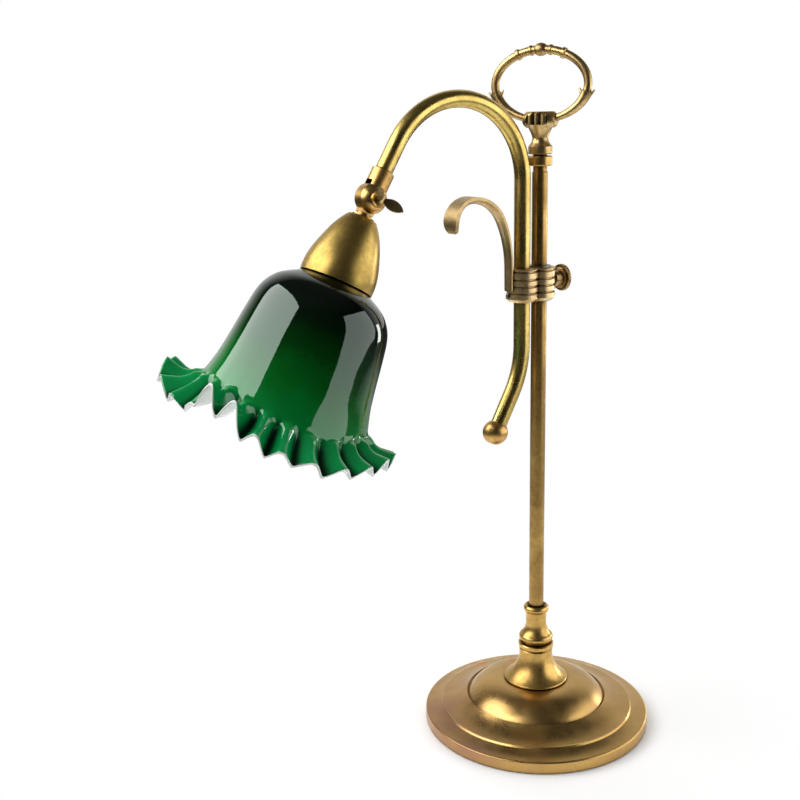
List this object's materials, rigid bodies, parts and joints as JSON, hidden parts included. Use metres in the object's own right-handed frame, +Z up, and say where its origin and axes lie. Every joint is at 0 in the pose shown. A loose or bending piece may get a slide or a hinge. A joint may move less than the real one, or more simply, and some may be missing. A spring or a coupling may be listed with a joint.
{
  "type": "desk lamp",
  "caption": "Brass desk lamp: round weighted base, stem with ring handle, sliding clamp with a swan-neck arm and cord hook, and a tilting frilled glass shade",
  "frame": {"origin": "middle of the base's underside", "axes": "+Z up along the stem; -X towards the arm and shade; +X towards the clamp's thumbscrew; +Y completes a right-handed frame"},
  "size_m": [0.3637, 0.17, 0.502],
  "materials": {
    "brass": "polished, aged",
    "cast_brass": "cast, polished, dark in the grooves",
    "base_brass": "spun, patinated",
    "holder_brass": "plain",
    "steel": "plain",
    "iron": "as cast",
    "felt": "felt",
    "ceramic": "glazed",
    "shade_glass": "cased, green outside and opal white inside",
    "bulb_metal": "rolled thread",
    "bulb_glass": "frosted"
  },
  "bodies": {
    "stand": {"base_felt": "felt", "base_washer": "steel", "base_nut": "steel", "tie_rod": "steel", "base_weight": "iron", "base_plate": "base_brass", "pedestal": "brass", "stem_ferrule": "brass", "stem": "brass", "lock_collar": "brass", "handle_yoke": "cast_brass", "handle_bow": "cast_brass"},
    "slider": {"slider_liner": "steel"},
    "arm": {"clamp_body": "cast_brass", "hook": "brass", "arm_set_screw": "steel", "arm_tube": "brass", "arm_ball": "brass", "knuckle_fork": "brass"},
    "thumb": {"thumbscrew": "brass"},
    "wing": {"wing_screw": "brass"},
    "shade": {"knuckle_tongue": "brass", "shade_cap": "brass", "lampholder": "holder_brass", "lampholder_insert": "ceramic", "shade_ring": "holder_brass", "glass_shade": "shade_glass", "bulb_cap": "bulb_metal", "bulb_glass": "bulb_glass"}
  },
  "joints": [
    {"name": "slider_lift", "type": "slide", "parent": "stand", "child": "slider", "axis": [0, 0, 1], "range_m": [-0.18, 0]},
    {"name": "slider_swivel", "type": "hinge", "parent": "slider", "child": "arm", "pos_m": [0, 0, 0.339], "axis": [0, 0, 1], "range_deg": [-175, 175]},
    {"name": "thumbscrew_turn", "type": "hinge", "parent": "arm", "child": "thumb", "pos_m": [0.015, 0, 0.3408], "axis": [1, 0, 0], "range_deg": [-180, 180]},
    {"name": "wing_screw_turn", "type": "hinge", "parent": "arm", "child": "wing", "pos_m": [-0.13858, -0.012, 0.40563], "axis": [0, -1, 0], "range_deg": [-180, 180]},
    {"name": "shade_tilt", "type": "hinge", "parent": "arm", "child": "shade", "pos_m": [-0.13858, 0, 0.40563], "axis": [0, 1, 0], "range_deg": [-35, 60]}
  ]
}
